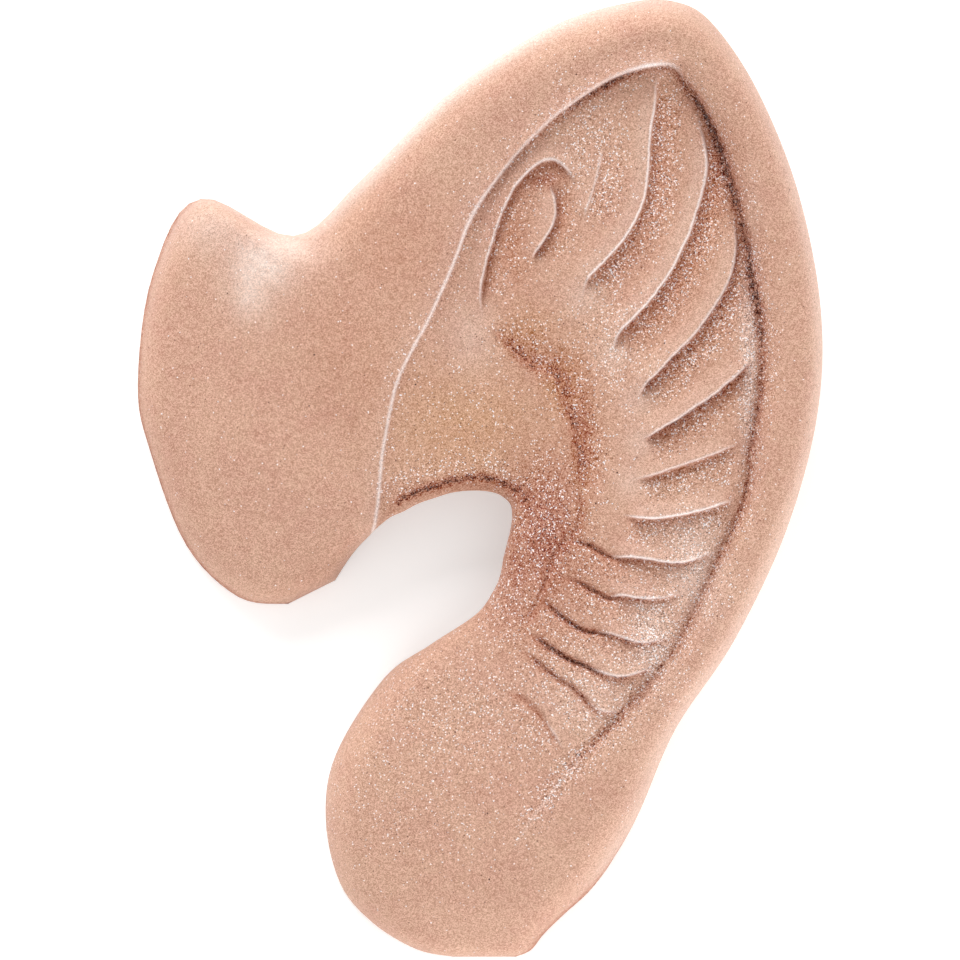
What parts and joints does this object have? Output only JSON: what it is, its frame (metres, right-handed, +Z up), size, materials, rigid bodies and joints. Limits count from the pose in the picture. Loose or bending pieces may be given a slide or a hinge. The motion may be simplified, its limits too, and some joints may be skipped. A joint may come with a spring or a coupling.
{
  "type": "elf ear tip",
  "caption": "Hollow soft latex cover that pulls over the left ear and gives it a long pointed top, with a cheek flap, folded inner relief and a notch for the ear canal.",
  "frame": {"origin": "on the resting surface, under the middle of the ear's outline", "axes": "+Z up out of the ear's outer face, +Y towards the pointed top, +X towards the back of the head"},
  "size_m": [0.0754, 0.1052, 0.0207],
  "materials": {
    "latex": "matte powdered cast latex, stained in its creases"
  },
  "bodies": {
    "root": {"ear_shell": "latex"}
  },
  "joints": []
}
